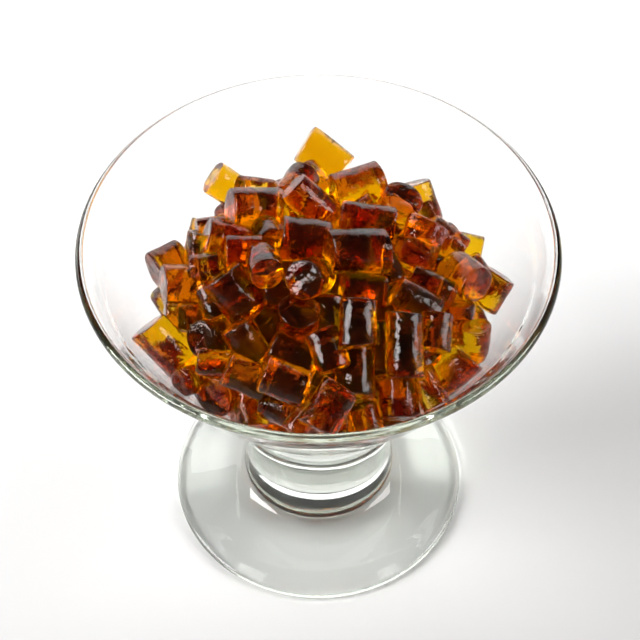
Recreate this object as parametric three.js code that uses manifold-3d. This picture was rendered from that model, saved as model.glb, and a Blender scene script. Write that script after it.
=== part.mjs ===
// A footed clear glass coupe heaped with short cylinders of kanten jelly.
// Millimetres, +Z up, the origin on the table under the middle of the foot.
import * as THREE from 'three';
import { mergeVertices } from 'three/addons/utils/BufferGeometryUtils.js';
import Module from 'manifold-3d';

// ---- driving dimensions of the coupe ----
const coupeHeight = 107.5;
const rimRadius = 60; // outside of the lip
const lipRound = 1.2; // the lip is a full round, twice this thick
const wallThick = 2.4; // below the lip
const neckDepth = 66; // the curve of the wall would run on to this depth below the lip,
const neckRadius = 21; // with this radius there
const wallSlope = 0.5; // how fast the wall closes in, just below the lip
const cupDepth = 58.5; // from the lip down to the inside of the bowl
const cupRounding = 8.7; // height over which the inside rounds off at the bottom
const stemTopDepth = 63.5; // from the lip down to where the stem leaves the wall
const waistRadius = 21.3; // the narrowest part of the solid stem
const stemFootRadius = 22.6; // where the stem meets the foot
const footRadius = 42.5;
const footRise = 9.8; // height of the foot's upper face at the stem
const footEdge = 2.6; // thickness of the foot at its edge
const standOuter = 41; // the flat ring that the coupe stands on
const standInner = 35;
const footHollow = 1.6; // rise of the foot's underside at its middle
const footCurve = 1.05; // how late the foot's upper face rises towards the stem
const glassTurns = 48; // steps round the glass
const stemSteps = 6;
const roundingSteps = 7;
const lipSteps = 4;

// ---- driving dimensions of the heap ----
const heapTop = 2; // top of the smooth dome over the heap, above the lip
const heapForward = 3; // the dome's middle lies this far in front of the axis
const heapEdgeDepth = 22; // where the dome meets the glass, below the lip
const glassGap = 0.35; // clearance between the jelly and the glass
const coreInset = 5.2; // the core lies this far under the dome and off the glass
const pieceSides = 8; // faces round a piece
const coreTurns = 16; // faces round the core
const cutLean = 0.14; // how far a cut end may lean, as a slope
const fillThick = 9.7; // usual thickness of a piece
const fillLong = 11.6; // usual length of a piece
const fillPitch = 10.6; // spacing of the pieces that the photograph doesn't show
const fillApart = 8.5; // nearest that such a piece may start to another one
const longRange = [0.82, 1.22]; // how uneven they are
const thickRange = [0.84, 1.1];
const gridJitter = 1.3; // how far such a piece may lie off its place
const heightJitter = 1.1;
const ringDepths = [27, 36, 45, 53]; // rows of pieces against the glass, below the lip
const domeCount = 84; // places spread over the dome, of which those that are free are taken
const seenWithin = 9; // a piece whose middle lies deeper than this can't be seen
const seed = 20761;

// ---- how the heap settles ----
const settleRounds = 60;
const closingRounds = 12; // these only clear the glass
const pushShare = 0.3; // of the overlap of two pieces, in one round
const touchShare = 0.48; // of both thicknesses together, at which two pieces touch
const endShare = 0.32; // of the thickness, left off the axis at each end
const slideShare = 0.05; // of a push, taken sideways by a piece that is shown
const sinkShare = 0.7; // of a push, taken along its sight line
const sinkStep = 0.3; // mm in a round, while it rests on nothing
const restOverlap = 0.3; // overlap at which a piece rests on another
const slopeShare = 0.25; // least slope of the glass to its sight line at which a piece slides up that line

// ---- the sight line of the photograph ----
const viewFocus = 1500; // focal length in pixels
const viewCentre = { across: 318.5, down: 320 };
const viewBack = 246; // eye in front of the axis
const viewUp = 277.5; // eye above the lip
const viewPitch = THREE.MathUtils.degToRad(51.57);
const leftOut = [[175, 322], [171, 289]]; // places in the picture where no unseen piece may lie
const leftOutWithin = 9; // pixels

// Every piece that the photograph shows. at: its middle in the picture; turn: direction in the
// picture of the end that is nearer the eye, anticlockwise from the right; tip: how far that end
// points at the eye; long and thick in mm; deep: how far it lies under the dome, along the sight line.
const shownPieces = [
  { name: 'top block', at: [322, 160], turn: -38, tip: -4, long: 13, thick: 11.2, deep: -5 },
  { name: 'gold arch', at: [297, 190], turn: -120, tip: 35, long: 10, thick: 9, deep: 0 },
  { name: 'gold under top block', at: [316, 180], turn: -50, tip: 15, long: 10, thick: 7.5, deep: 4 },
  { name: 'orange right of top', at: [358, 197], turn: 198, tip: 15, long: 13.2, thick: 10.6, deep: 0 },
  { name: 'gold far left', at: [230, 190], turn: 145, tip: 19, long: 9, thick: 9.3, deep: 0 },
  { name: 'dark back left', at: [256, 193], turn: 175, tip: 25, long: 9.5, thick: 7.6, deep: 3 },
  { name: 'orange drum', at: [257, 216], turn: 182, tip: 20, long: 14, thick: 11, deep: 0 },
  { name: 'dark leaning', at: [307, 204], turn: 140, tip: 20, long: 12, thick: 8.8, deep: 1 },
  { name: 'dark dome end', at: [393, 208], turn: 60, tip: 50, long: 10, thick: 11, deep: -1 },
  { name: 'gold slope', at: [420, 207], turn: 110, tip: 15, long: 12, thick: 9, deep: 0 },
  { name: 'gold right edge', at: [448, 247], turn: 145, tip: 10, long: 11, thick: 8.3, deep: 1 },
  { name: 'grey right edge', at: [469, 268], turn: 130, tip: 10, long: 10, thick: 8, deep: 3 },
  { name: 'dark right corner', at: [485, 289], turn: 60, tip: 10, long: 9.2, thick: 8.6, deep: -1 },
  { name: 'orange round end', at: [462, 279], turn: -42, tip: 46, long: 11, thick: 9.6, deep: -1 },
  { name: 'small behind round end', at: [460, 252], turn: -15, tip: 10, long: 9, thick: 7, deep: 4 },
  { name: 'big orange right', at: [419, 250], turn: -115, tip: 6, long: 12.8, thick: 11.2, deep: -1 },
  { name: 'gold bottomed', at: [352, 254], turn: 181, tip: 12, long: 14.2, thick: 11.2, deep: -1 },
  { name: 'dark behind gold', at: [366, 226], turn: 173, tip: 8, long: 14, thick: 9, deep: 3 },
  { name: 'dark square', at: [304, 246], turn: 175, tip: 15, long: 12.2, thick: 11.2, deep: 0 },
  { name: 'small dark round', at: [268, 239], turn: -60, tip: 58, long: 9, thick: 8, deep: 2 },
  { name: 'dark with grey end', at: [227, 241], turn: 168, tip: 18, long: 11, thick: 9.5, deep: 1 },
  { name: 'small gold left', at: [213, 230], turn: 188, tip: 10, long: 8, thick: 6.5, deep: 3 },
  { name: 'small dark left', at: [200, 249], turn: 85, tip: 10, long: 8, thick: 6.5, deep: 3 },
  { name: 'gold at the left', at: [174, 269], turn: 208, tip: 20, long: 9, thick: 11, deep: 1 },
  { name: 'orange grey face', at: [187, 283], turn: 180, tip: 12, long: 9, thick: 10.8, deep: 0 },
  { name: 'brown under grey face', at: [187, 316], turn: 177, tip: 8, long: 10, thick: 7.5, deep: 4 },
  { name: 'green gold block', at: [171, 350], turn: 133, tip: 15, long: 14, thick: 9.8, deep: -1 },
  { name: 'narrow orange', at: [211, 303], turn: -65, tip: 10, long: 9.5, thick: 6.5, deep: 3 },
  { name: 'big diagonal', at: [246, 294], turn: 128, tip: 15, long: 12.6, thick: 11, deep: -1 },
  { name: 'bright topped', at: [206, 269], turn: 5, tip: 10, long: 8, thick: 7, deep: 3 },
  { name: 'dark round end', at: [266, 268], turn: -70, tip: 60, long: 10, thick: 8.2, deep: 2 },
  { name: 'round end facing', at: [312, 278], turn: 200, tip: 68, long: 10, thick: 9.5, deep: 0 },
  { name: 'rough dark end', at: [298, 320], turn: 80, tip: 58, long: 10, thick: 10.2, deep: 1 },
  { name: 'upright striped', at: [356, 328], turn: -92, tip: 8, long: 11.5, thick: 8.8, deep: -1 },
  { name: 'rough spotted', at: [358, 372], turn: -90, tip: 12, long: 12, thick: 9.5, deep: 0 },
  { name: 'gold slot', at: [380, 346], turn: 90, tip: 5, long: 12, thick: 6.5, deep: 4 },
  { name: 'clear upright', at: [403, 347], turn: -90, tip: 4, long: 15.5, thick: 9, deep: -1 },
  { name: 'two highlights', at: [410, 406], turn: -85, tip: 10, long: 10.5, thick: 10.5, deep: 0 },
  { name: 'green gold upright', at: [433, 331], turn: -95, tip: 10, long: 9, thick: 8, deep: 1 },
  { name: 'grey upright', at: [458, 323], turn: 85, tip: 15, long: 8.5, thick: 7.5, deep: 2 },
  { name: 'black end', at: [468, 338], turn: 88, tip: 35, long: 9, thick: 7, deep: 1 },
  { name: 'gold diagonal', at: [448, 371], turn: 42, tip: 12, long: 12.2, thick: 9.6, deep: 0 },
  { name: 'red block', at: [367, 290], turn: 172, tip: 8, long: 11, thick: 8, deep: 4 },
  { name: 'sparkling dark', at: [410, 301], turn: 150, tip: 12, long: 12, thick: 9, deep: 2 },
  { name: 'gold floor', at: [430, 287], turn: 155, tip: 8, long: 12, thick: 7, deep: 3 },
  { name: 'brown right', at: [452, 304], turn: 165, tip: 8, long: 9, thick: 7, deep: 4 },
  { name: 'round end left', at: [214, 339], turn: 190, tip: 55, long: 11, thick: 9, deep: 0 },
  { name: 'green strip', at: [249, 343], turn: 120, tip: 10, long: 11, thick: 8.5, deep: 1 },
  { name: 'brown middle', at: [273, 338], turn: 125, tip: 12, long: 10.5, thick: 9, deep: 3 },
  { name: 'broad highlight', at: [284, 382], turn: 158, tip: 6, long: 11.2, thick: 9, deep: -1 },
  { name: 'gold behind highlight', at: [297, 356], turn: 155, tip: 8, long: 12, thick: 9, deep: 2 },
  { name: 'dark slot', at: [329, 351], turn: -70, tip: 10, long: 10, thick: 8, deep: 3 },
  { name: 'small orange end', at: [198, 376], turn: 200, tip: 55, long: 9, thick: 7, deep: 1 },
  { name: 'gold over dark end', at: [214, 367], turn: 175, tip: 10, long: 8.5, thick: 6.5, deep: 3 },
  { name: 'big dark end', at: [219, 400], turn: -150, tip: 58, long: 11, thick: 10.6, deep: 0 },
  { name: 'orange low left', at: [247, 377], turn: 155, tip: 8, long: 11, thick: 8.5, deep: 1 },
  { name: 'small sparkling', at: [280, 408], turn: -20, tip: 20, long: 9, thick: 8.5, deep: 1 },
  { name: 'gold strip', at: [304, 409], turn: 235, tip: 8, long: 12, thick: 6.5, deep: 2 },
  { name: 'low diagonal', at: [327, 408], turn: -122, tip: 8, long: 12, thick: 9.6, deep: -1 },
  { name: 'gold between', at: [318, 382], turn: 50, tip: 8, long: 11, thick: 8, deep: 4 },
  { name: 'small low gold', at: [364, 411], turn: -75, tip: 12, long: 9, thick: 7.5, deep: 2 },
  { name: 'grey at the glass', at: [196, 393], turn: -60, tip: 12, long: 9, thick: 6.5, deep: 2 },
  { name: 'low left', at: [246, 413], turn: -80, tip: 12, long: 9, thick: 8, deep: 2 },
  { name: 'low dark', at: [428, 396], turn: -65, tip: 10, long: 10, thick: 7, deep: 2 },
  { name: 'gold column', at: [330, 318], turn: -85, tip: 8, long: 11, thick: 7.5, deep: 4 },
  { name: 'brown under round', at: [281, 294], turn: 170, tip: 8, long: 10, thick: 8, deep: 4 },
  { name: 'orange by square', at: [290, 263], turn: 180, tip: 8, long: 9, thick: 7, deep: 5 },
  { name: 'orange by grey end', at: [247, 249], turn: 180, tip: 8, long: 9, thick: 8, deep: 5 },
  { name: 'small orange right', at: [389, 274], turn: -70, tip: 10, long: 8, thick: 6.5, deep: 3 },
  { name: 'small gold wedge', at: [362, 210], turn: 35, tip: 10, long: 8, thick: 6.5, deep: 3 },
];

// ---- helpers ----
const wasm = await Module();
wasm.setup();

// repeatable draw: Park and Miller's generator, which stays within whole numbers
function makeDraw(start) {
  let state = start;
  return (low, high) => {
    state = (state * 48271) % 2147483647;
    return low + (high - low) * (state / 2147483647);
  };
}

function toSolid(geometry) {
  geometry.deleteAttribute('normal');
  geometry.deleteAttribute('uv');
  const merged = mergeVertices(geometry, 1e-4);
  return new wasm.Manifold(new wasm.Mesh({
    numProp: 3,
    vertProperties: Float32Array.from(merged.attributes.position.array),
    triVerts: Uint32Array.from(merged.index.array),
  }));
}

function toGeometry(solid) {
  const mesh = solid.getMesh();
  const geometry = new THREE.BufferGeometry();
  geometry.setAttribute('position', new THREE.BufferAttribute(mesh.vertProperties, 3));
  geometry.setIndex(new THREE.BufferAttribute(mesh.triVerts, 1));
  return geometry;
}

// a lathe turned so that its axis is +Z
function turned(profile, turns) {
  const geometry = new THREE.LatheGeometry(profile.map(([r, z]) => new THREE.Vector2(r, z)), turns);
  return geometry.rotateX(Math.PI / 2);
}

// ---- shape of the glass ----
const wallBend = (rimRadius - neckRadius - wallSlope * neckDepth) / neckDepth ** 2;

function outerRadius(depth) {
  return rimRadius - wallSlope * depth - wallBend * depth ** 2;
}

// the inside follows the outside at the wall's thickness and rounds off at the bottom
const roundDepth = cupDepth - cupRounding;
const wallInset = wallThick * Math.hypot(1, wallSlope + wallBend * neckDepth);

function innerRadius(depth) {
  const straight = outerRadius(Math.min(depth, roundDepth)) - wallInset;
  if (depth <= roundDepth) return straight;
  const part = Math.min((depth - roundDepth) / cupRounding, 1);
  return straight * Math.sqrt(1 - part ** 2);
}

function arc(centre, radius, from, to, steps) {
  return Array.from({ length: steps + 1 }, (_, i) => {
    const angle = THREE.MathUtils.degToRad(from + ((to - from) * i) / steps);
    return [centre[0] + radius * Math.cos(angle), centre[1] + radius * Math.sin(angle)];
  });
}

function glassProfile() {
  const points = [[0, footHollow], [standInner / 2, footHollow], [standInner, 0], [standOuter, 0]];
  points.push(...arc([footRadius - footEdge / 2, footEdge / 2], footEdge / 2, -60, 70, 4));
  const reach = footRadius - footEdge - stemFootRadius; // the foot's upper face, a slow rise
  for (const part of [0.35, 0.7]) {
    const rise = (footRise - footEdge) * part ** footCurve;
    points.push([footRadius - footEdge - reach * part, footEdge + rise]);
  }
  const stemTopRadius = outerRadius(stemTopDepth);
  const stemTop = coupeHeight - stemTopDepth;
  const middle = (stemFootRadius + stemTopRadius) / 2;
  for (let i = 0; i <= stemSteps; i++) {
    const part = i / stemSteps;
    const waist = Math.sin(Math.PI * Math.sqrt(part));
    const straight = stemFootRadius + (stemTopRadius - stemFootRadius) * part;
    points.push([straight - (middle - waistRadius) * waist, footRise + (stemTop - footRise) * part]);
  }
  for (const depth of [54, 41, 28, 15, 6]) {
    points.push([outerRadius(depth), coupeHeight - depth]);
  }
  const lipCentre = [rimRadius - lipRound, coupeHeight - lipRound];
  points.push(...arc(lipCentre, lipRound, 0, 180, lipSteps));
  for (const depth of [6, 17, 28, 39, roundDepth]) {
    points.push([innerRadius(depth), coupeHeight - depth]);
  }
  for (let i = 1; i < roundingSteps; i++) {
    const depth = roundDepth + cupRounding * Math.sin((i / roundingSteps) * (Math.PI / 2));
    points.push([innerRadius(depth), coupeHeight - depth]);
  }
  points.push([0, coupeHeight - cupDepth]);
  return points;
}

// ---- shape of the heap ----
const heapRadius = innerRadius(heapEdgeDepth);

function domeHeight(x, y) {
  const reach = Math.hypot(x, y + heapForward) / heapRadius;
  return heapTop - (heapTop + heapEdgeDepth) * reach ** 2;
}

// the view's axes: right, up in the picture, and towards the eye
const toEye = new THREE.Vector3(0, -Math.cos(viewPitch), Math.sin(viewPitch));
const pictureUp = new THREE.Vector3(0, Math.sin(viewPitch), Math.cos(viewPitch));
const pictureRight = new THREE.Vector3(1, 0, 0);
const eye = new THREE.Vector3(0, -viewBack, coupeHeight + viewUp);

// where the sight line through a point of the picture meets the dome
function onDome([across, down]) {
  const ray = toEye.clone().negate()
    .addScaledVector(pictureRight, (across - viewCentre.across) / viewFocus)
    .addScaledVector(pictureUp, (viewCentre.down - down) / viewFocus)
    .normalize();
  let near = 300;
  let far = 410;
  for (let i = 0; i < 40; i++) {
    const middle = (near + far) / 2;
    const point = eye.clone().addScaledVector(ray, middle);
    const above = point.z - coupeHeight - domeHeight(point.x, point.y);
    if (above > 0) near = middle;
    else far = middle;
  }
  return { point: eye.clone().addScaledVector(ray, near), ray };
}

function shownPiece({ at, turn, tip, long, thick, deep }) {
  const { point, ray } = onDome(at);
  const inPicture = THREE.MathUtils.degToRad(turn);
  const towards = THREE.MathUtils.degToRad(tip);
  const axis = pictureRight.clone().multiplyScalar(Math.cos(inPicture) * Math.cos(towards))
    .addScaledVector(pictureUp, Math.sin(inPicture) * Math.cos(towards))
    .addScaledVector(toEye, Math.sin(towards));
  const centre = point.addScaledVector(ray, thick / 2 + deep);
  return { centre, ray, axis, long, thick, shown: true };
}

function hiddenPiece(draw, centre, axis) {
  const long = fillLong * draw(...longRange);
  const thick = fillThick * draw(...thickRange);
  return { centre, axis: axis.normalize(), long, thick, shown: false };
}

function isFree(centre, pieces) {
  return pieces.every((other) => other.centre.distanceTo(centre) > fillApart);
}

// rows of pieces lying against the glass
function wallPieces(draw, pieces) {
  for (const depth of ringDepths) {
    const radius = innerRadius(depth) - fillThick / 2 - glassGap;
    const count = Math.floor((2 * Math.PI * radius) / fillPitch);
    for (let i = 0; i < count; i++) {
      const place = i * fillPitch + draw(-gridJitter, gridJitter) + ((depth % 2) * fillPitch) / 2;
      const angle = (place / (count * fillPitch)) * 2 * Math.PI;
      const height = coupeHeight - depth + draw(-heightJitter, heightJitter);
      const centre = new THREE.Vector3(radius * Math.cos(angle), radius * Math.sin(angle), height);
      const along = draw(-1.4, 1.4); // from lying level to running down the wall
      const down = wallSlope + 2 * wallBend * depth;
      const axis = new THREE.Vector3(
        -Math.sin(angle) * Math.cos(along) + Math.cos(angle) * down * Math.sin(along),
        Math.cos(angle) * Math.cos(along) + Math.sin(angle) * down * Math.sin(along),
        Math.sin(along),
      );
      if (isFree(centre, pieces)) pieces.push(hiddenPiece(draw, centre, axis));
    }
  }
}

// pieces lying on the dome where the photograph shows none, in a sunflower's order
function domePieces(draw, pieces) {
  for (let i = 0; i < domeCount; i++) {
    const radius = (heapRadius - fillThick / 2) * Math.sqrt((i + 0.5) / domeCount);
    const angle = i * Math.PI * (3 - Math.sqrt(5));
    const x = radius * Math.cos(angle);
    const y = radius * Math.sin(angle);
    const slope = (-2 * (heapTop + heapEdgeDepth)) / heapRadius ** 2;
    const heading = draw(0, 2 * Math.PI);
    const fall = slope * (x * Math.cos(heading) + (y + heapForward) * Math.sin(heading));
    const axis = new THREE.Vector3(Math.cos(heading), Math.sin(heading), fall + draw(-0.5, 0.5));
    const centre = new THREE.Vector3(x, y, coupeHeight + domeHeight(x, y) - fillThick / 2);
    if (isFree(centre, pieces)) pieces.push(hiddenPiece(draw, centre, axis));
  }
}

// the rest of the heap, on a jittered close-packed grid
function innerPieces(draw, pieces) {
  const rise = fillPitch * Math.sqrt(2 / 3);
  const rowGap = (fillPitch * Math.sqrt(3)) / 2;
  const reach = Math.ceil(heapRadius / rowGap);
  let layer = 0;
  for (let z = -cupDepth + fillThick / 2; z < heapTop; z += rise, layer++) {
    for (let row = -reach; row <= reach; row++) {
      for (let column = -reach; column <= reach; column++) {
        const x = (column + ((row + layer) & 1) / 2) * fillPitch + draw(-gridJitter, gridJitter);
        const y = row * rowGap + (layer & 1) * (rowGap / 3) + draw(-gridJitter, gridJitter);
        const height = z + draw(-heightJitter, heightJitter);
        const axis = new THREE.Vector3(draw(-1, 1), draw(-1, 1), draw(-0.55, 0.55));
        if (Math.hypot(x, y) > innerRadius(-height) - fillThick / 2) continue;
        if (height > domeHeight(x, y) - fillThick / 2) continue;
        const centre = new THREE.Vector3(x, y, height + coupeHeight);
        if (isFree(centre, pieces)) pieces.push(hiddenPiece(draw, centre, axis));
      }
    }
  }
}

// nearest points of two axes, as steps along each from its middle
function nearest(a, b, reachA, reachB) {
  const gap = a.centre.clone().sub(b.centre);
  const lean = a.axis.dot(b.axis);
  const alongA = a.axis.dot(gap);
  const alongB = b.axis.dot(gap);
  const spread = 1 - lean * lean;
  let s = spread > 1e-3 ? (lean * alongB - alongA) / spread : 0;
  s = THREE.MathUtils.clamp(s, -reachA, reachA);
  const t = THREE.MathUtils.clamp(alongB + lean * s, -reachB, reachB);
  s = THREE.MathUtils.clamp(lean * t - alongA, -reachA, reachA);
  return gap.addScaledVector(a.axis, s).addScaledVector(b.axis, -t);
}

function shift(piece, move) {
  if (!piece.shown) {
    piece.centre.add(move);
    return;
  }
  const along = move.dot(piece.ray); // a piece that is shown keeps its place in the picture
  piece.centre.addScaledVector(move, slideShare).addScaledVector(piece.ray, along * sinkShare);
}

function partPieces(pieces) {
  for (let i = 0; i < pieces.length; i++) {
    for (let j = 0; j < i; j++) {
      const a = pieces[i];
      const b = pieces[j];
      const reachA = a.long / 2 - a.thick * endShare;
      const reachB = b.long / 2 - b.thick * endShare;
      if (a.centre.distanceTo(b.centre) > (a.long + b.long + a.thick + b.thick) / 2) continue;
      const apart = nearest(a, b, reachA, reachB);
      const overlap = (a.thick + b.thick) * touchShare - apart.length();
      if (overlap <= 0) continue;
      a.rests ||= overlap > restOverlap;
      b.rests ||= overlap > restOverlap;
      apart.normalize().multiplyScalar(overlap * pushShare);
      shift(a, apart);
      shift(b, apart.negate());
    }
  }
}

// a piece's own frame: its length along Y
function frameOf(piece) {
  const side = new THREE.Vector3(0, 0, 1).cross(piece.axis);
  if (side.length() < 1e-3) side.set(1, 0, 0);
  side.normalize();
  const other = side.clone().cross(piece.axis);
  return new THREE.Matrix4().makeBasis(side, piece.axis, other).setPosition(piece.centre);
}

// the corners of both ends of a piece
function corners(piece) {
  const frame = frameOf(piece);
  const points = [];
  for (const [end, lean] of piece.lean.entries()) {
    for (let i = 0; i < pieceSides; i++) {
      const angle = (i / pieceSides) * 2 * Math.PI;
      const x = (Math.sin(angle) * piece.thick) / 2;
      const y = (end === 0 ? 0.5 : -0.5) * piece.long + lean * x;
      points.push(new THREE.Vector3(x, y, (Math.cos(angle) * piece.thick) / 2).applyMatrix4(frame));
    }
  }
  return points;
}

// pushes a piece off the glass, and under the dome if it fills
function keepInside(piece) {
  let deepest = 0;
  let over = 0;
  const move = new THREE.Vector3();
  for (const point of corners(piece)) {
    const depth = coupeHeight - point.z;
    const radius = Math.hypot(point.x, point.y);
    const slope = wallSlope + 2 * wallBend * depth;
    const out = (radius - innerRadius(Math.max(depth, 0)) + glassGap) / Math.hypot(1, slope);
    over = Math.max(over, -depth - domeHeight(point.x, point.y));
    if (depth > roundDepth && out > deepest) {
      deepest = out;
      move.set(0, 0, out);
    } else if (out > deepest) {
      deepest = out;
      move.set(-point.x / radius, -point.y / radius, slope).normalize();
      const facing = piece.shown ? piece.ray.dot(move) : 0;
      if (facing < -slopeShare) move.copy(piece.ray).multiplyScalar(out / facing);
      else move.multiplyScalar(out);
    }
  }
  piece.centre.add(move);
  if (!piece.shown) piece.centre.z -= over / 2;
}

// whether a piece may stay: an unseen one mustn't fill a gap that the photograph shows
function isWanted(piece) {
  const away = piece.centre.clone().sub(eye);
  const scale = viewFocus / -away.dot(toEye);
  const across = viewCentre.across + scale * away.dot(pictureRight);
  const down = viewCentre.down - scale * away.dot(pictureUp);
  return piece.shown || leftOut.every(([x, y]) => Math.hypot(across - x, down - y) >= leftOutWithin);
}

function settledPieces() {
  const draw = makeDraw(seed);
  const all = shownPieces.map(shownPiece);
  wallPieces(draw, all);
  domePieces(draw, all);
  innerPieces(draw, all);
  const pieces = all.filter(isWanted);
  for (const piece of pieces) piece.lean = [draw(-cutLean, cutLean), draw(-cutLean, cutLean)];
  for (let round = 0; round < settleRounds; round++) {
    for (const piece of pieces) piece.rests = false;
    partPieces(pieces);
    pieces.forEach(keepInside);
    for (const piece of pieces) {
      if (piece.shown && !piece.rests) piece.centre.addScaledVector(piece.ray, sinkStep);
    }
  }
  for (let round = 0; round < closingRounds; round++) pieces.forEach(keepInside);
  return pieces;
}

function pieceGeometry(piece) {
  const geometry = new THREE.CylinderGeometry(piece.thick / 2, piece.thick / 2, piece.long, pieceSides);
  const position = geometry.attributes.position;
  for (let i = 0; i < position.count; i++) {
    const lean = piece.lean[position.getY(i) > 0 ? 0 : 1];
    position.setY(i, position.getY(i) + position.getX(i) * lean);
  }
  return geometry.applyMatrix4(frameOf(piece));
}

function coreGeometry() {
  const bottom = cupDepth - coreInset;
  const profile = [[0, coupeHeight - bottom]];
  for (const depth of [bottom, 49, 38, heapEdgeDepth + coreInset]) {
    profile.push([innerRadius(depth) - coreInset, coupeHeight - depth]);
  }
  for (const part of [0.78, 0.5, 0.25]) {
    const radius = heapRadius * part;
    profile.push([radius, coupeHeight + domeHeight(0, radius) - coreInset]);
  }
  profile.push([0, coupeHeight + heapTop - coreInset]);
  return turned(profile, coreTurns);
}

// whether a piece can be seen, from above or through the glass
function isSeen(piece) {
  const depth = coupeHeight - piece.centre.z;
  const toGlass = innerRadius(Math.max(depth, 0)) - Math.hypot(piece.centre.x, piece.centre.y);
  const toDome = domeHeight(piece.centre.x, piece.centre.y) + depth;
  return piece.shown || Math.min(toGlass, toDome, cupDepth - depth) < seenWithin;
}

function heapSolid() {
  const pieces = settledPieces().filter(isSeen);
  let heap = toSolid(coreGeometry());
  for (const piece of pieces) heap = heap.add(toSolid(pieceGeometry(piece)));
  // the outer skin alone: without the hollows between the pieces
  return heap.decompose().reduce((most, body) => (body.volume() > most.volume() ? body : most));
}

// ---- the part ----
const glassFinish = new THREE.MeshStandardMaterial({
  color: 0xe6f0ec, roughness: 0.05, metalness: 0, transparent: true, opacity: 0.35,
});
const jellyFinish = new THREE.MeshStandardMaterial({ color: 0x9a4a08, roughness: 0.12, metalness: 0 });

const coupe = new THREE.Mesh(turned(glassProfile(), glassTurns), glassFinish);
coupe.name = 'glass_coupe';

const heap = new THREE.Mesh(toGeometry(heapSolid()), jellyFinish);
heap.name = 'jelly_heap';

const group = new THREE.Group();
group.add(coupe, heap);

export default group;
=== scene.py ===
# A footed clear glass coupe heaped with short cylinders of amber kanten jelly.
# Lengths are in millimetres until a mesh is placed, then in metres.
import math

import bmesh
import bpy
from mathutils import Matrix, Vector, noise


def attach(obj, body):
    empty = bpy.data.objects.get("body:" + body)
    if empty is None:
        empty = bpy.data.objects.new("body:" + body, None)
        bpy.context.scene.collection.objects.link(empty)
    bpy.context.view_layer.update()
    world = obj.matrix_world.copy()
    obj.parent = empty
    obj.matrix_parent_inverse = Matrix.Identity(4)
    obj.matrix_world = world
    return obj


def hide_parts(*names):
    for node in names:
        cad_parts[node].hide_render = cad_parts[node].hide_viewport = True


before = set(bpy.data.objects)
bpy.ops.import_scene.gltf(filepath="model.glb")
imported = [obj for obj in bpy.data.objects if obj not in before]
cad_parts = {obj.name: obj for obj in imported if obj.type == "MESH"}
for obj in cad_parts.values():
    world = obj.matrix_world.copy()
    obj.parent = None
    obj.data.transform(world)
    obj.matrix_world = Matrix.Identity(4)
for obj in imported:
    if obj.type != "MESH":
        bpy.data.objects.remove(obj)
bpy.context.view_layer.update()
mm = 0.001
print("frame loaded")

# ---- the glass ----
coupe = {
    "height": 107.5,
    "rimRadius": 60.0,
    "lipRound": 1.2,
    "wallThick": 2.4,
    "wallSlope": 0.5,  # how fast the wall closes in just below the lip
    "neckDepth": 66.0,  # the curve of the wall would run on to this depth,
    "neckRadius": 21.0,  # with this radius there
    "stemTopDepth": 63.5,
    "cupDepth": 58.5,
    "cupRounding": 8.7,
    "waistRadius": 21.3,
    "stemFootRadius": 22.6,
    "footRadius": 42.5,
    "footRise": 9.8,
    "footEdge": 2.6,
    "footCurve": 1.05,
    "standOuter": 41.0,
    "standInner": 35.0,
    "footHollow": 1.6,
    "waistLow": 1.4,  # above 1, the stem is narrowest low down
    "lipOuterDepth": 3.0,  # where the wall's outside meets the lip
    "lipInnerDepth": 5.0,  # and its inside
    "footSoftening": (1.8, 4),  # reach and rounds of smoothing where the stem meets the foot
    "stemSoftening": (3.0, 5),  # and where it meets the bowl
    "turns": 128,
}
wallBend = (coupe["rimRadius"] - coupe["neckRadius"] - coupe["wallSlope"] * coupe["neckDepth"]) \
    / coupe["neckDepth"] ** 2
roundDepth = coupe["cupDepth"] - coupe["cupRounding"]
# the wall's thickness measured level, from its slope halfway down
wallInset = coupe["wallThick"] * math.hypot(1, coupe["wallSlope"] + wallBend * coupe["neckDepth"])


def outerRadius(depth):
    return coupe["rimRadius"] - coupe["wallSlope"] * depth - wallBend * depth ** 2


def wallSlopeAt(depth):
    return coupe["wallSlope"] + 2 * wallBend * depth


def innerRadius(depth):
    straight = outerRadius(min(depth, roundDepth)) - wallInset
    if depth <= roundDepth:
        return straight
    part = min((depth - roundDepth) / coupe["cupRounding"], 1)
    return straight * math.sqrt(1 - part ** 2)


def arc(centreR, centreZ, radius, start, end, steps):
    angles = [math.radians(start + (end - start) * i / steps) for i in range(steps + 1)]
    return [(centreR + radius * math.cos(a), centreZ + radius * math.sin(a)) for a in angles]


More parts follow.
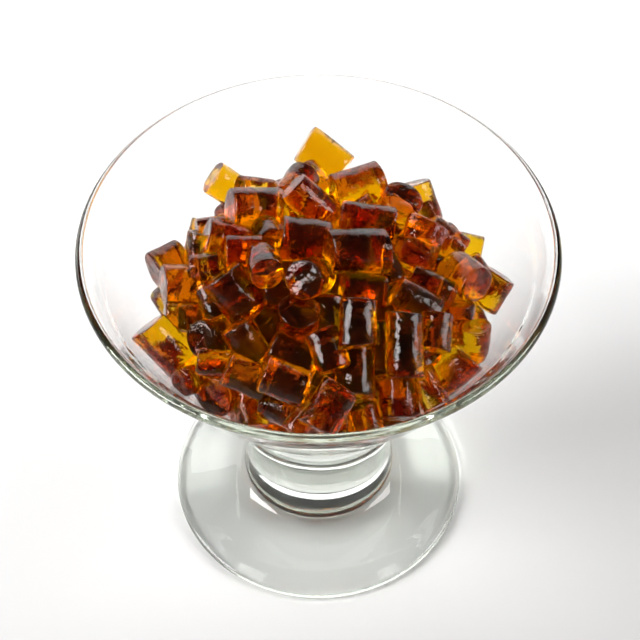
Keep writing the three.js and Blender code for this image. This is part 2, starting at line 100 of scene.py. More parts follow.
def coupeProfile():
    c = coupe
    points = []
    for i in range(16):  # the hollow under the foot
        part = i / 16
        rise = c["footHollow"] * (1 - part ** 2)
        points.append((c["standInner"] * part, rise))
    points += [(c["standInner"], 0), (c["standOuter"] - 1, 0)]
    half = c["footEdge"] / 2
    points += arc(c["footRadius"] - half, half, half, -80, 78, 12)
    reach = c["footRadius"] - c["footEdge"] - c["stemFootRadius"]
    for i in range(1, 20):  # the foot's upper face
        part = i / 20
        rise = (c["footRise"] - c["footEdge"]) * part ** c["footCurve"]
        points.append((c["footRadius"] - c["footEdge"] - reach * part, c["footEdge"] + rise))
    stemTop, stemTopRadius = c["height"] - c["stemTopDepth"], outerRadius(c["stemTopDepth"])
    middle = (c["stemFootRadius"] + stemTopRadius) / 2
    for i in range(31):  # the stem, narrowest low down
        part = (i / 30) ** c["waistLow"]
        waist = (middle - c["waistRadius"]) * math.sin(math.pi * math.sqrt(part))
        straight = c["stemFootRadius"] + (stemTopRadius - c["stemFootRadius"]) * part
        points.append((straight - waist, c["footRise"] + (stemTop - c["footRise"]) * part))
    for i in range(1, 34):  # the wall's outside
        depth = c["stemTopDepth"] + (c["lipOuterDepth"] - c["stemTopDepth"]) * i / 33
        points.append((outerRadius(depth), c["height"] - depth))
    lip = c["lipRound"]
    points += arc(c["rimRadius"] - lip, c["height"] - lip, lip, -12, 200, 16)
    for i in range(1, 30):  # the wall's inside
        depth = c["lipInnerDepth"] + (roundDepth - c["lipInnerDepth"]) * i / 29
        points.append((innerRadius(depth), c["height"] - depth))
    for i in range(1, 16):  # the cup's round bottom
        depth = roundDepth + c["cupRounding"] * math.sin(i / 16 * math.pi / 2)
        points.append((innerRadius(depth), c["height"] - depth))
    points.append((0, c["height"] - c["cupDepth"]))
    return points


def softened(points, corner, reach, rounds):
    # rounds a corner of the profile by smoothing the points near it
    points = [Vector(p) for p in points]
    for _ in range(rounds):
        for i in range(1, len(points) - 1):
            if (points[i] - Vector(corner)).length < reach:
                points[i] = (points[i - 1] + 2 * points[i] + points[i + 1]) / 4
    return points


def newObject(name, bm):
    mesh = bpy.data.meshes.new(name)
    bm.to_mesh(mesh)
    bm.free()
    obj = bpy.data.objects.new(name, mesh)
    bpy.context.scene.collection.objects.link(obj)
    return obj


def smoothShade(obj):
    for face in obj.data.polygons:
        face.use_smooth = True


def makeCoupe():
    c = coupe
    footCorner = (c["stemFootRadius"], c["footRise"])
    bowlCorner = (outerRadius(c["stemTopDepth"]), c["height"] - c["stemTopDepth"])
    points = softened(coupeProfile(), footCorner, *c["footSoftening"])
    points = softened(points, bowlCorner, *c["stemSoftening"])
    bm = bmesh.new()
    verts = [bm.verts.new((r * mm, 0, z * mm)) for r, z in points]
    edges = [bm.edges.new(pair) for pair in zip(verts, verts[1:])]
    bmesh.ops.spin(bm, geom=verts + edges, cent=(0, 0, 0), axis=(0, 0, 1), angle=2 * math.pi,
                   steps=c["turns"], use_merge=True)
    bmesh.ops.remove_doubles(bm, verts=bm.verts, dist=1e-6)
    bmesh.ops.recalc_face_normals(bm, faces=bm.faces)
    obj = newObject("glass_coupe_clear", bm)
    smoothShade(obj)
    return obj


# ---- the heap ----
heap = {
    "top": 2.0,  # of the smooth dome over it, above the lip
    "forward": 3.0,  # of the dome's middle, towards the camera's side
    "edgeDepth": 22.0,  # where the dome meets the wall
    "glassGap": 0.35,
    "cutLean": 0.14,
    "fillThick": 9.7,
    "fillLong": 11.6,
    "fillPitch": 10.6,
    "fillApart": 8.5,
    "longRange": (0.82, 1.22),
    "thickRange": (0.84, 1.1),
    "gridJitter": 1.3,
    "heightJitter": 1.1,
    "wallTurn": 1.4,  # from lying level to running down the wall
    "domeTip": 0.5,
    "innerTip": 0.55,
    "ringDepths": (27, 36, 45, 53),
    "domeCount": 84,
    "cornerSides": 8,
    "seed": 20761,
    "settleRounds": 60,
    "closingRounds": 12,
    "pushShare": 0.3,
    "touchShare": 0.48,  # at 0.5, pieces come to rest just touching
    "endShare": 0.32,
    "slideShare": 0.05,
    "sinkShare": 0.7,
    "sinkStep": 0.3,  # of a shown piece that rests on nothing, each round
    "restOverlap": 0.3,
    "slopeShare": 0.25,
    "domeFromEye": (300, 410),  # the least and the most that it can be
    "halvings": 40,
    "leftOut": [(175, 322), (171, 289)],  # places in the picture with no hidden piece
    "leftOutWithin": 9,
}
heapRadius = innerRadius(heap["edgeDepth"])

# the sight line that the shown pieces are placed by
sight = {
    "picture": 640,  # pixels in each direction
    "focus": 1500,  # in pixels too
    "sensor": 36,
    "across": 318.5,  # the pixel that the line of sight goes through
    "down": 320,
    "back": 246,  # how far the eye stands back from the bowl's middle
    "up": 277.5,  # and above its rim
    "pitch": math.radians(51.57),
}
toEye = Vector((0, -math.cos(sight["pitch"]), math.sin(sight["pitch"])))
pictureUp = Vector((0, math.sin(sight["pitch"]), math.cos(sight["pitch"])))
pictureRight = Vector((1, 0, 0))
eye = Vector((0, -sight["back"], coupe["height"] + sight["up"]))

# name, middle in the picture, turn, tip towards the eye, length, thickness, depth under the dome
shownPieces = [
    ("top block", 322, 160, -38, -4, 13, 11.2, -5),
    ("gold arch", 297, 190, -120, 35, 10, 9, 0),
    ("gold under top block", 316, 180, -50, 15, 10, 7.5, 4),
    ("orange right of top", 358, 197, 198, 15, 13.2, 10.6, 0),
    ("gold far left", 230, 190, 145, 19, 9, 9.3, 0),
    ("dark back left", 256, 193, 175, 25, 9.5, 7.6, 3),
    ("orange drum", 257, 216, 182, 20, 14, 11, 0),
    ("dark leaning", 307, 204, 140, 20, 12, 8.8, 1),
    ("dark dome end", 393, 208, 60, 50, 10, 11, -1),
    ("gold slope", 420, 207, 110, 15, 12, 9, 0),
    ("gold right edge", 448, 247, 145, 10, 11, 8.3, 1),
    ("grey right edge", 469, 268, 130, 10, 10, 8, 3),
    ("dark right corner", 485, 289, 60, 10, 9.2, 8.6, -1),
    ("orange round end", 462, 279, -42, 46, 11, 9.6, -1),
    ("small behind round end", 460, 252, -15, 10, 9, 7, 4),
    ("big orange right", 419, 250, -115, 6, 12.8, 11.2, -1),
    ("gold bottomed", 352, 254, 181, 12, 14.2, 11.2, -1),
    ("dark behind gold", 366, 226, 173, 8, 14, 9, 3),
    ("dark square", 304, 246, 175, 15, 12.2, 11.2, 0),
    ("small dark round", 268, 239, -60, 58, 9, 8, 2),
    ("dark with grey end", 227, 241, 168, 18, 11, 9.5, 1),
    ("small gold left", 213, 230, 188, 10, 8, 6.5, 3),
    ("small dark left", 200, 249, 85, 10, 8, 6.5, 3),
    ("gold at the left", 174, 269, 208, 20, 9, 11, 1),
    ("orange grey face", 187, 283, 180, 12, 9, 10.8, 0),
    ("brown under grey face", 187, 316, 177, 8, 10, 7.5, 4),
    ("green gold block", 171, 350, 133, 15, 14, 9.8, -1),
    ("narrow orange", 211, 303, -65, 10, 9.5, 6.5, 3),
    ("big diagonal", 246, 294, 128, 15, 12.6, 11, -1),
    ("bright topped", 206, 269, 5, 10, 8, 7, 3),
    ("dark round end", 266, 268, -70, 60, 10, 8.2, 2),
    ("round end facing", 312, 278, 200, 68, 10, 9.5, 0),
    ("rough dark end", 298, 320, 80, 58, 10, 10.2, 1),
    ("upright striped", 356, 328, -92, 8, 11.5, 8.8, -1),
    ("rough spotted", 358, 372, -90, 12, 12, 9.5, 0),
    ("gold slot", 380, 346, 90, 5, 12, 6.5, 4),
    ("clear upright", 403, 347, -90, 4, 15.5, 9, -1),
    ("two highlights", 410, 406, -85, 10, 10.5, 10.5, 0),
    ("green gold upright", 433, 331, -95, 10, 9, 8, 1),
    ("grey upright", 458, 323, 85, 15, 8.5, 7.5, 2),
    ("black end", 468, 338, 88, 35, 9, 7, 1),
    ("gold diagonal", 448, 371, 42, 12, 12.2, 9.6, 0),
    ("red block", 367, 290, 172, 8, 11, 8, 4),
    ("sparkling dark", 410, 301, 150, 12, 12, 9, 2),
    ("gold floor", 430, 287, 155, 8, 12, 7, 3),
    ("brown right", 452, 304, 165, 8, 9, 7, 4),
    ("round end left", 214, 339, 190, 55, 11, 9, 0),
    ("green strip", 249, 343, 120, 10, 11, 8.5, 1),
    ("brown middle", 273, 338, 125, 12, 10.5, 9, 3),
    ("broad highlight", 284, 382, 158, 6, 11.2, 9, -1),
    ("gold behind highlight", 297, 356, 155, 8, 12, 9, 2),
    ("dark slot", 329, 351, -70, 10, 10, 8, 3),
    ("small orange end", 198, 376, 200, 55, 9, 7, 1),
    ("gold over dark end", 214, 367, 175, 10, 8.5, 6.5, 3),
    ("big dark end", 219, 400, -150, 58, 11, 10.6, 0),
    ("orange low left", 247, 377, 155, 8, 11, 8.5, 1),
    ("small sparkling", 280, 408, -20, 20, 9, 8.5, 1),
    ("gold strip", 304, 409, 235, 8, 12, 6.5, 2),
    ("low diagonal", 327, 408, -122, 8, 12, 9.6, -1),
    ("gold between", 318, 382, 50, 8, 11, 8, 4),
    ("small low gold", 364, 411, -75, 12, 9, 7.5, 2),
    ("grey at the glass", 196, 393, -60, 12, 9, 6.5, 2),
    ("low left", 246, 413, -80, 12, 9, 8, 2),
    ("low dark", 428, 396, -65, 10, 10, 7, 2),
    ("gold column", 330, 318, -85, 8, 11, 7.5, 4),
    ("brown under round", 281, 294, 170, 8, 10, 8, 4),
    ("orange by square", 290, 263, 180, 8, 9, 7, 5),
    ("orange by grey end", 247, 249, 180, 8, 9, 8, 5),
    ("small orange right", 389, 274, -70, 10, 8, 6.5, 3),
    ("small gold wedge", 362, 210, 35, 10, 8, 6.5, 3),
]


class Piece:
    def __init__(self, centre, axis, long, thick, ray=None):
        self.centre = centre
        self.axis = axis.normalized()
        self.long = long
        self.thick = thick
        self.ray = ray  # the sight line of a shown piece, which it mostly moves along
        self.lean = (0, 0)
        self.rests = False
        self.reach = long / 2 - thick * heap["endShare"]  # of the line that its round body follows


def domeHeight(x, y):
    reach = math.hypot(x, y + heap["forward"]) / heapRadius
    return heap["top"] - (heap["top"] + heap["edgeDepth"]) * reach ** 2


def makeDraw(seed):
    state = seed

    def draw(low, high):
        nonlocal state
        state = state * 48271 % 2147483647
        return low + (high - low) * state / 2147483647
    return draw


def shownPiece(across, down, turn, tip, long, thick, deep):
    ray = -toEye + pictureRight * ((across - sight["across"]) / sight["focus"]) \
        + pictureUp * ((sight["down"] - down) / sight["focus"])
    ray.normalize()
    near, far = heap["domeFromEye"]
    for _ in range(heap["halvings"]):
        middle = (near + far) / 2
        point = eye + ray * middle
        if point.z - coupe["height"] - domeHeight(point.x, point.y) > 0:
            near = middle
        else:
            far = middle
    turn, tip = math.radians(turn), math.radians(tip)
    axis = pictureRight * (math.cos(turn) * math.cos(tip)) \
        + pictureUp * (math.sin(turn) * math.cos(tip)) + toEye * math.sin(tip)
    return Piece(eye + ray * (near + thick / 2 + deep), axis, long, thick, ray)


def hiddenPiece(draw, centre, axis):
    long = heap["fillLong"] * draw(*heap["longRange"])
    thick = heap["fillThick"] * draw(*heap["thickRange"])
    return Piece(centre, axis, long, thick)


def isFree(centre, pieces):
    return all((other.centre - centre).length > heap["fillApart"] for other in pieces)


def wallPieces(draw, pieces):
    pitch = heap["fillPitch"]
    for depth in heap["ringDepths"]:
        radius = innerRadius(depth) - heap["fillThick"] / 2 - heap["glassGap"]
        count = int(2 * math.pi * radius / pitch)
        for i in range(count):
            jitter = draw(-heap["gridJitter"], heap["gridJitter"])
            place = i * pitch + jitter + depth % 2 * pitch / 2
            angle = place / (count * pitch) * 2 * math.pi
            height = coupe["height"] - depth + draw(-heap["heightJitter"], heap["heightJitter"])
            centre = Vector((radius * math.cos(angle), radius * math.sin(angle), height))
            along = draw(-heap["wallTurn"], heap["wallTurn"])
            down = wallSlopeAt(depth)
            axis = Vector((
                -math.sin(angle) * math.cos(along) + math.cos(angle) * down * math.sin(along),
                math.cos(angle) * math.cos(along) + math.sin(angle) * down * math.sin(along),
                math.sin(along),
            ))
            if isFree(centre, pieces):
                pieces.append(hiddenPiece(draw, centre, axis))


def domePieces(draw, pieces):
    for i in range(heap["domeCount"]):
        radius = (heapRadius - heap["fillThick"] / 2) * math.sqrt((i + 0.5) / heap["domeCount"])
        angle = i * math.pi * (3 - math.sqrt(5))
        x, y = radius * math.cos(angle), radius * math.sin(angle)
        slope = -2 * (heap["top"] + heap["edgeDepth"]) / heapRadius ** 2
        heading = draw(0, 2 * math.pi)
        fall = slope * (x * math.cos(heading) + (y + heap["forward"]) * math.sin(heading))
        tip = draw(-heap["domeTip"], heap["domeTip"])
        axis = Vector((math.cos(heading), math.sin(heading), fall + tip))
        centre = Vector((x, y, coupe["height"] + domeHeight(x, y) - heap["fillThick"] / 2))
        if isFree(centre, pieces):
            pieces.append(hiddenPiece(draw, centre, axis))


def innerPieces(draw, pieces):
    pitch, half = heap["fillPitch"], heap["fillThick"] / 2
    rise, rowGap = pitch * math.sqrt(2 / 3), pitch * math.sqrt(3) / 2
    reach = math.ceil(heapRadius / rowGap)
    jitter, heightJitter, tip = heap["gridJitter"], heap["heightJitter"], heap["innerTip"]
    z, layer = -coupe["cupDepth"] + half, 0
    while z < heap["top"]:
        for row in range(-reach, reach + 1):
            for column in range(-reach, reach + 1):
                x = (column + (row + layer & 1) / 2) * pitch + draw(-jitter, jitter)
                y = row * rowGap + (layer & 1) * rowGap / 3 + draw(-jitter, jitter)
                height = z + draw(-heightJitter, heightJitter)
                axis = Vector((draw(-1, 1), draw(-1, 1), draw(-tip, tip)))
                if math.hypot(x, y) > innerRadius(-height) - half:
                    continue
                if height > domeHeight(x, y) - half:
                    continue
                centre = Vector((x, y, height + coupe["height"]))
                if isFree(centre, pieces):
                    pieces.append(hiddenPiece(draw, centre, axis))
        z += rise
        layer += 1


def clamp(value, limit):
    return max(-limit, min(limit, value))


def nearest(a, b):
    # from the nearest point of b's axis to that of a's
    gap = a.centre - b.centre
    lean = a.axis.dot(b.axis)
    alongA, alongB = a.axis.dot(gap), b.axis.dot(gap)
    spread = 1 - lean * lean
    s = (lean * alongB - alongA) / spread if spread > 1e-3 else 0
    s = clamp(s, a.reach)
    t = clamp(alongB + lean * s, b.reach)
    s = clamp(lean * t - alongA, a.reach)
    return gap + a.axis * s - b.axis * t


def shift(piece, move):
    if piece.ray is None:
        piece.centre += move
    else:
        along = move.dot(piece.ray)
        piece.centre += move * heap["slideShare"] + piece.ray * (along * heap["sinkShare"])


def partPieces(pieces):
    for i, a in enumerate(pieces):
        for b in pieces[:i]:
            if (a.centre - b.centre).length > (a.long + b.long + a.thick + b.thick) / 2:
                continue
            apart = nearest(a, b)
            overlap = (a.thick + b.thick) * heap["touchShare"] - apart.length
            if overlap <= 0:
                continue
            a.rests = a.rests or overlap > heap["restOverlap"]
            b.rests = b.rests or overlap > heap["restOverlap"]
            push = apart.normalized() * (overlap * heap["pushShare"])
            shift(a, push)
            shift(b, -push)


def ownFrame(piece):
    # the piece's length along Z, its cut ends lean along Y
    side = Vector((0, 0, 1)).cross(piece.axis)
    if side.length < 1e-3:
        side = Vector((1, 0, 0))
    side.normalize()
    other = side.cross(piece.axis)
    turn = Matrix((other, side, piece.axis)).transposed().to_4x4()
    return Matrix.Translation(piece.centre) @ turn


def corners(piece):
    # points round both cut ends
    place = ownFrame(piece)
    points = []
    for end, lean in zip((0.5, -0.5), piece.lean):
        for i in range(heap["cornerSides"]):
            angle = i / heap["cornerSides"] * 2 * math.pi
            side, other = math.sin(angle) * piece.thick / 2, math.cos(angle) * piece.thick / 2
            points.append(place @ Vector((other, side, end * piece.long + lean * side)))
    return points


def keepInside(piece):
    deepest, over, move = 0, 0, Vector()
    for point in corners(piece):
        depth, radius = coupe["height"] - point.z, math.hypot(point.x, point.y)
        slope = wallSlopeAt(depth)
        out = (radius - innerRadius(max(depth, 0)) + heap["glassGap"]) / math.hypot(1, slope)
        over = max(over, -depth - domeHeight(point.x, point.y))  # above the dome
        if out > deepest:
            deepest = out
            if depth > roundDepth:
                move = Vector((0, 0, out))
            else:
                inwards = Vector((-point.x / radius, -point.y / radius, slope)).normalized()
                move = inwards * out
                if piece.ray is not None and piece.ray.dot(inwards) < -heap["slopeShare"]:
                    move = piece.ray * (out / piece.ray.dot(inwards))  # up its own sight line
    piece.centre += move
    if piece.ray is None:
        piece.centre.z -= over / 2


def inPicture(point):
    away = point - eye
    scale = sight["focus"] / -away.dot(toEye)
    across = sight["across"] + scale * away.dot(pictureRight)
    return across, sight["down"] - scale * away.dot(pictureUp)


def isWanted(piece):
    across, down = inPicture(piece.centre)
    within = heap["leftOutWithin"]
    near = any(math.hypot(across - x, down - y) < within for x, y in heap["leftOut"])
    return piece.ray is not None or not near


def settledPieces():
    draw = makeDraw(heap["seed"])
    pieces = [shownPiece(*place) for name, *place in shownPieces]
    wallPieces(draw, pieces)
    domePieces(draw, pieces)
    innerPieces(draw, pieces)
    pieces = [piece for piece in pieces if isWanted(piece)]
    lean = heap["cutLean"]
    for piece in pieces:
        piece.lean = (draw(-lean, lean), draw(-lean, lean))
    for _ in range(heap["settleRounds"]):
        for piece in pieces:
            piece.rests = False
        partPieces(pieces)
        for piece in pieces:
            keepInside(piece)
            if piece.ray is not None and not piece.rests:
                piece.centre += piece.ray * heap["sinkStep"]
    for _ in range(heap["closingRounds"]):
        for piece in pieces:
            keepInside(piece)
    return pieces


# ---- the pieces of jelly ----
cut = {
    "shownSides": 32,
    "hiddenSides": 20,
    "rimRound": (0.35, 0.85),
    "capInset": 0.3,  # of its radius, from ring to ring on a cut end
    "dish": 0.35,  # how far a cut end may sink in
    "dishShare": (-0.4, 1),  # below 0 it bulges
    "waver": 0.022,  # how far from round a piece may be
    "bend": 0.005,
    "dent": 0.2,
    "dentScale": 0.28,
    "dentSeed": 20761,
    "firstSeed": 1000,
    "seedStep": 97,
    "intoGlass": 0.15,  # a piece at the wall reaches this far into it
    "press": 3,  # it is pushed in this many times as far, and then flattened
    "nearGlass": 1.3,
    "lipClear": 4.0,  # a piece this near the lip isn't pressed on the wall
    "meshGap": 0.6,  # between two pieces of one mesh
    "lookWithin": 26,  # only pieces this near to each other are compared
}


def cutPiece(piece, index):
    # one piece in its own frame, in millimetres
    shown = piece.ray is not None
    sides = cut["shownSides"] if shown else cut["hiddenSides"]
    radius = piece.thick / 2
    bm = bmesh.new()
    bmesh.ops.create_cone(bm, cap_ends=True, segments=sides, radius1=radius, radius2=radius,
                          depth=piece.long)
    lengthways = [e for e in bm.edges if abs(e.verts[0].co.z - e.verts[1].co.z) > 1]
    if shown:
        bmesh.ops.subdivide_edges(bm, edges=lengthways, cuts=3)
    rims = [e for e in bm.edges if e.calc_face_angle(0) > 1]
    shape = makeDraw(cut["firstSeed"] + index * cut["seedStep"])
    for _ in range(3):  # the first draws of near seeds are alike
        shape(0, 1)
    bmesh.ops.bevel(bm, geom=rims, offset=shape(*cut["rimRound"]), segments=3 if shown else 2,
                    profile=0.5, affect="EDGES", material=-1)
    caps = [f for f in bm.faces if len(f.verts) == sides]
    for _ in range(2 if shown else 1):
        bmesh.ops.inset_individual(bm, faces=caps, thickness=radius * cut["capInset"])
    dishes = [shape(*cut["dishShare"]) * cut["dish"] for _ in range(2)]
    phases = [shape(0, 2 * math.pi) for _ in range(2)]
    bend = shape(-cut["bend"], cut["bend"])
    offset = Vector((index * 7.3, index * 3.1, 0))  # so that each piece has its own dents
    for vert in bm.verts:
        x, y, z = vert.co
        angle, out = math.atan2(y, x), math.hypot(x, y)
        end = 0 if z > 0 else 1
        toEnd = abs(z) / (piece.long / 2)
        wave = math.cos(2 * angle + phases[0]) + 0.6 * math.cos(3 * angle + phases[1])
        grow = 1 + cut["waver"] * wave
        x, y = x * grow, y * grow
        dents = noise.noise_vector(vert.co * cut["dentScale"] + offset) * cut["dent"]
        dish = math.copysign(dishes[end] * (1 - (out / radius) ** 2), z)
        z += (piece.lean[end] * y - dish) * toEnd ** 2
        bow = z ** 2 - piece.long ** 2 / 12  # averages zero, so the middle stays in place
        vert.co = Vector((x + bend * bow, y, z)) + dents
    bmesh.ops.transform(bm, matrix=ownFrame(piece), verts=bm.verts)
    return bm


def pressOnGlass(bm):
    # moves a piece near the wall onto it, and flattens it where it touches
    def outside(co):
        depth = coupe["height"] - co.z
        slope = wallSlopeAt(depth)
        return (math.hypot(co.x, co.y) - innerRadius(max(depth, 0))) / math.hypot(1, slope)
    touching = max(bm.verts, key=lambda v: outside(v.co))
    gap = -outside(touching.co)
    depth = coupe["height"] - touching.co.z
    if gap > cut["nearGlass"] or depth < cut["lipClear"]:
        return
    if depth < roundDepth:
        outwards = Vector((touching.co.x, touching.co.y, 0)).normalized()
        outwards.z = -wallSlopeAt(depth)
        outwards.normalize()
    else:
        outwards = Vector((0, 0, -1))
    push = outwards * (gap + cut["press"] * cut["intoGlass"])
    bmesh.ops.translate(bm, vec=push, verts=bm.verts)
    for vert in bm.verts:
        over = outside(vert.co) - cut["intoGlass"]
        if over > 0:
            vert.co -= outwards * over


def sortPieces(pieces):
    # neighbours go into different groups, so that no mesh crosses itself
    groups = []
    for piece in pieces:
        for group in groups:
            near = [p for p in group if (piece.centre - p.centre).length < cut["lookWithin"]]
            if all(nearest(piece, p).length > (piece.thick + p.thick) / 2 + cut["meshGap"] for p in near):
                group.append(piece)
                break
        else:
            groups.append([piece])
    return groups


# a dark body of painted shade that fills the heap's middle, in place of the shade deep among the pieces
core = {
    "underDome": 12.0,
    "underBack": 9.0,  # this much deeper still behind the top
    "backFrom": -10.0,  # from here, in front of the middle,
    "backOver": 30.0,  # it deepens over this way to the back
    "offGlass": 11.5,
    "middleDepth": 30.0,
    "farthest": 60.0,
    "halvings": 18,
    "fineness": 5,
    "colour": (0.065, 0.06, 0.04),
    "darkShare": 0.5,
    "patchScale": 160,
    "roughness": 0.35,
}


def insideCore(point):
    # how far a point is inside the core, in millimetres
    radius, depth = math.hypot(point.x, point.y), coupe["height"] - point.z
    back = max(0, min(1, (point.y - core["backFrom"]) / core["backOver"]))
    underDome = depth + domeHeight(point.x, point.y) - core["underDome"] - core["underBack"] * back
    toGlass = (innerRadius(max(depth, 0)) - radius) / math.hypot(1, wallSlopeAt(depth))
    overBottom = coupe["cupDepth"] - depth - core["offGlass"]
    return min(underDome, toGlass - core["offGlass"], overBottom)


def makeCore():
    # the middle of the heap, a dark body of painted shade which no light gets through
    bm = bmesh.new()
    bmesh.ops.create_icosphere(bm, subdivisions=core["fineness"], radius=1)
    middle = Vector((0, 0, coupe["height"] - core["middleDepth"]))
    for vert in bm.verts:
        way = vert.co.normalized()
        low, high = 0, core["farthest"]
        for _ in range(core["halvings"]):
            reach = (low + high) / 2
            if insideCore(middle + way * reach) > 0:
                low = reach
            else:
                high = reach
        vert.co = (middle + way * low) * mm
    bmesh.ops.smooth_vert(bm, verts=bm.verts, factor=0.5,
                          use_axis_x=True, use_axis_y=True, use_axis_z=True)
    obj = newObject("heap_painted_shade_core", bm)
    smoothShade(obj)
    return obj


def makeHeap():
    # pieces that lie deep inside the core are left out
    pieces = [piece for piece in settledPieces() if insideCore(piece.centre) < piece.thick / 2]
    numbers = {id(piece): i for i, piece in enumerate(pieces)}
    noise.seed_set(cut["dentSeed"])  # without it the dents differ from run to run
    objects = []
    for i, group in enumerate(sortPieces(pieces)):
        whole = bmesh.new()
        for piece in group:
            bm = cutPiece(piece, numbers[id(piece)])
            pressOnGlass(bm)
            mesh = bpy.data.meshes.new("piece")
            bm.to_mesh(mesh)
            bm.free()
            whole.from_mesh(mesh)
            bpy.data.meshes.remove(mesh)
        bmesh.ops.scale(whole, vec=(mm, mm, mm), verts=whole.verts)
        bmesh.ops.recalc_face_normals(whole, faces=whole.faces)
        obj = newObject(f"jelly_pieces_{i + 1}", whole)
        smoothShade(obj)
        objects.append(obj)
        print("jelly group", i + 1, "pieces", len(group), "faces", len(obj.data.polygons))
    return objects


# ---- shader maths ----
class Wire:
    # a shader socket that can be added, taken away and multiplied in an expression
    def __init__(self, recipe, socket):
        self.recipe = recipe
        self.socket = socket

    def sum(self, operation, first, second):
        return self.recipe.add("ShaderNodeMath", {"operation": operation}, {0: first, 1: second})

    def __add__(self, other):
        return self.sum("ADD", self, other)

    def __radd__(self, other):
        return self.sum("ADD", other, self)

    def __sub__(self, other):
        return self.sum("SUBTRACT", self, other)

    def __rsub__(self, other):
        return self.sum("SUBTRACT", other, self)

    def __mul__(self, other):
        return self.sum("MULTIPLY", self, other)

    def __rmul__(self, other):
        return self.sum("MULTIPLY", other, self)


class Recipe:
    # the nodes of a material or of the world
    def __init__(self, owner):
        owner.use_nodes = True
        self.owner = owner
        self.tree = owner.node_tree
        self.tree.nodes.clear()

    def add(self, kind, settings=None, sockets=None, output=0):
        node = self.tree.nodes.new(kind)
        for key, value in (settings or {}).items():
            if key == "stops":
                ramp = node.color_ramp
                while len(ramp.elements) < len(value):
                    ramp.elements.new(1)
                for element, (position, colour) in zip(ramp.elements, value):
                    element.position = position
                    element.color = (*colour, 1)
            else:
                setattr(node, key, value)
        for key, value in (sockets or {}).items():
            if isinstance(value, Wire):
                self.tree.links.new(value.socket, node.inputs[key])
            else:
                node.inputs[key].default_value = value
        return None if output is None else Wire(self, node.outputs[output])

    def noise(self, where, scale, detail=2.0):
        return self.add("ShaderNodeTexNoise", {}, {"Vector": where, "Scale": scale, "Detail": detail})

    def place(self):
        return self.add("ShaderNodeTexCoord", output="Object")

    def bump(self, height, strength, distance):
        return self.add("ShaderNodeBump", {}, {
            "Height": height, "Strength": strength, "Distance": distance})

    def absorb(self, through, way):
        # through is what a way of that many metres lets through of red, green and blue
        losses = [-math.log(t) / way for t in through]
        density = max(losses)
        colour = [1 - loss / density for loss in losses]
        return self.add("ShaderNodeVolumeAbsorption", {}, {"Color": (*colour, 1), "Density": density})

    def finish(self, shader, volume=None, output="ShaderNodeOutputMaterial"):
        sockets = {"Surface": shader}
        if volume:
            sockets["Volume"] = volume
        self.add(output, {}, sockets, None)


clearGlass = {
    "tint": (0.985, 0.995, 0.99, 1),
    "ior": 1.51,
    "way": 0.1,  # in metres
    # its grey loss is partly the glass's own tint and partly painted shade, darkening the foot and stem
    "through": (0.56, 0.59, 0.52),  # what such a way lets through
    "waveScale": 55,
    "waveDetail": 1.5,
    "waveSqueeze": (1, 1, 2.2),  # the waves in it lie level
    "waveStrength": 0.25,
    "waveHeight": 0.0004,
}


def glassMaterial():
    g = clearGlass
    r = Recipe(bpy.data.materials.new("clear_glass"))
    where = r.place()
    drawn = r.add("ShaderNodeVectorMath", {"operation": "MULTIPLY"}, {0: where, 1: g["waveSqueeze"]})
    waves = r.noise(drawn, g["waveScale"], g["waveDetail"])
    shader = r.add("ShaderNodeBsdfPrincipled", {}, {
        "Base Color": g["tint"], "Roughness": 0.0, "IOR": g["ior"], "Transmission Weight": 1.0,
        "Normal": r.bump(waves, g["waveStrength"], g["waveHeight"])})
    r.finish(shader, r.absorb(g["through"], g["way"]))
    return r.owner


jelly = {
    "tint": (1, 0.84, 0.6, 1),
    "ior": 1.345,
    "way": 0.01,  # in metres
    "through": (0.7, 0.38, 0.0008),  # what such a way lets through
    "broadScale": 230,
    "broadDetail": 1.5,
    "fineScale": 900,
    "fineShare": 0.22,
    "skinStrength": 0.6,
    "skinHeight": 0.001,
    "mostRough": 0.02,
    "roughScale": 420,
}


def jellyMaterial():
    r = Recipe(bpy.data.materials.new("amber_jelly"))
    where = r.place()
    broad = r.noise(where, jelly["broadScale"], jelly["broadDetail"])
    fine = r.noise(where, jelly["fineScale"])
    roughness = jelly["mostRough"] * r.noise(where, jelly["roughScale"])
    skin = r.bump(broad + jelly["fineShare"] * fine, jelly["skinStrength"], jelly["skinHeight"])
    shader = r.add("ShaderNodeBsdfPrincipled", {}, {
        "Base Color": jelly["tint"], "Roughness": roughness, "IOR": jelly["ior"],
        "Transmission Weight": 1.0, "Normal": skin})
    r.finish(shader, r.absorb(jelly["through"], jelly["way"]))
    return r.owner


# the painted shade's dark colour, in darker and lighter patches
def paintedShadeMaterial():
    r = Recipe(bpy.data.materials.new("painted_shade_dark"))
    where = r.place()
    dark = [core["darkShare"] * c for c in core["colour"]]
    patches = r.noise(where, core["patchScale"])
    stops = [(0.35, dark), (0.65, core["colour"])]
    colour = r.add("ShaderNodeValToRGB", {"stops": stops}, {0: patches})
    r.finish(r.add("ShaderNodeBsdfPrincipled", {}, {
        "Base Color": colour, "Roughness": core["roughness"], "IOR": jelly["ior"]}))
    return r.owner


# ---- put together ----
glass = makeCoupe()
glass.data.materials.append(glassMaterial())
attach(glass, "root")
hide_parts("glass_coupe")
print("glass made")

jellyObjects = makeHeap()
amber = jellyMaterial()
for obj in jellyObjects:
    obj.data.materials.append(amber)
    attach(obj, "root")
    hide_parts("jelly_heap")
heapCore = makeCore()
heapCore.data.materials.append(paintedShadeMaterial())
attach(heapCore, "root")
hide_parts("jelly_heap")
print("jelly made")

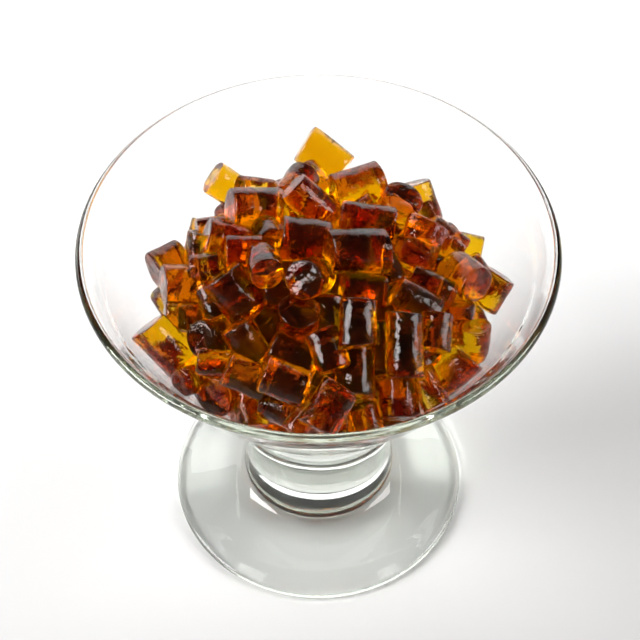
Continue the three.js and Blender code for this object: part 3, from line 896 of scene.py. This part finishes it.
# ---- floor, light and camera ----
studio = {
    "floorSize": 5.0,
    "floorDrop": 0.0002,  # under the foot
    # painted light and shade: the floor's colour is lighter behind the bowl and darker in front of it
    "floorPaintedLight": (0.85, 0.85, 0.85),  # behind the bowl
    "floorPaintedShade": (0.45, 0.445, 0.44),  # in front of it
    "floorShade": (0.4, 0.75),  # where the first ends and the second starts
    "floorMiddle": (0.5, 0.5, 0),
    "floorTurn": (0, 0, 1.4),
    "floorStretch": (2.6, 2.6, 2.6),
    "floorRough": 0.6,
    "floorGloss": 0.2,
    "paleWall": (0.25, 0.25, 0.25),  # behind the bowl and beside it
    "darkRoom": (0.05, 0.05, 0.05),  # overhead and on the camera's side
    "wallTop": (0.3, 0.6),  # the wall darkens upwards between these sines of the height angle
    "wallFront": (-0.5, 0.2),  # and towards the camera's side between these
    "aimHeight": 0.09,  # the soft boxes face this height on the bowl's axis
}

# name, width, height, azimuth, elevation, distance, radiance
# azimuth 0 is behind the bowl, seen from the camera; 90 is on its right
softBoxes = [
    ("left_box", 0.9, 0.8, -104, 34, 1.6, 17.0),
    ("right_box", 0.85, 0.8, 97, 32, 1.6, 9.0),
    ("back_wall", 3.2, 1.1, -12, 20, 1.5, 2.2),
]


def makeFloor():
    bm = bmesh.new()
    bmesh.ops.create_grid(bm, x_segments=2, y_segments=2, size=studio["floorSize"])
    bmesh.ops.translate(bm, vec=(0, 0, -studio["floorDrop"]), verts=bm.verts)
    floor = newObject("floor", bm)
    # the white floor's colour carries painted shade, darkening from behind the bowl towards its front,
    # where its light falls off
    r = Recipe(bpy.data.materials.new("white_table_painted_shade"))
    turned = r.add("ShaderNodeMapping", {}, {
        0: r.place(), 1: studio["floorMiddle"], 2: studio["floorTurn"], 3: studio["floorStretch"]})
    away = r.add("ShaderNodeTexGradient", {"gradient_type": "LINEAR"}, {0: turned})
    stops = list(zip(studio["floorShade"], (studio["floorPaintedLight"], studio["floorPaintedShade"])))
    colour = r.add("ShaderNodeValToRGB", {"stops": stops}, {0: away})
    r.finish(r.add("ShaderNodeBsdfPrincipled", {}, {
        "Base Color": colour, "Roughness": studio["floorRough"],
        "Specular IOR Level": studio["floorGloss"]}))
    floor.data.materials.append(r.owner)


def softBox(name, width, height, azimuth, elevation, distance, radiance):
    light = bpy.data.lights.new(name, "AREA")
    light.shape = "RECTANGLE"
    light.size, light.size_y = width, height
    light.energy = radiance * width * height * math.pi
    obj = bpy.data.objects.new(name, light)
    a, e = math.radians(azimuth), math.radians(elevation)
    out = Vector((math.sin(a) * math.cos(e), math.cos(a) * math.cos(e), math.sin(e)))
    obj.location = Vector((0, 0, studio["aimHeight"])) + out * distance
    obj.rotation_euler = out.to_track_quat("Z", "Y").to_euler()
    bpy.context.scene.collection.objects.link(obj)


def makeRoom():
    # a pale wall behind the bowl, and a dark ceiling and front
    world = bpy.data.worlds.new("studio")
    r = Recipe(world)
    direction = r.add("ShaderNodeTexCoord", output="Generated")
    pale, dark = studio["paleWall"], studio["darkRoom"]
    top, front = studio["wallTop"], studio["wallFront"]
    back = r.add("ShaderNodeSeparateXYZ", {}, {0: direction}, 1)
    height = r.add("ShaderNodeSeparateXYZ", {}, {0: direction}, 2)
    low = 1 - r.add("ShaderNodeMapRange", {}, {0: height, 1: top[0], 2: top[1]})
    behind = r.add("ShaderNodeMapRange", {}, {0: back, 1: front[0], 2: front[1]})
    colour = r.add("ShaderNodeValToRGB", {"stops": [(0, dark), (1, pale)]}, {0: low * behind})
    backdrop = r.add("ShaderNodeBackground", {}, {"Color": colour})
    r.finish(backdrop, output="ShaderNodeOutputWorld")
    bpy.context.scene.world = world


makeFloor()
for row in softBoxes:
    softBox(*row)
makeRoom()

camera = bpy.data.objects.new("camera", bpy.data.cameras.new("camera"))
camera.data.sensor_width = sight["sensor"]
camera.data.lens = sight["sensor"] * sight["focus"] / sight["picture"]
camera.data.shift_x = (sight["picture"] / 2 - sight["across"]) / sight["picture"]
camera.location = eye * mm
camera.rotation_euler = (math.pi / 2 - sight["pitch"], 0, 0)
bpy.context.scene.collection.objects.link(camera)
bpy.context.scene.camera = camera

scene = bpy.context.scene
scene.view_settings.view_transform = "Standard"
scene.cycles.max_bounces = 48
scene.cycles.transmission_bounces = 48
scene.cycles.glossy_bounces = 32  # light turns many times inside the glass rim
scene.cycles.diffuse_bounces = 6
scene.cycles.blur_glossy = 0  # else the floor under the foot loses its light
scene.cycles.use_denoising = True
print("scene made")
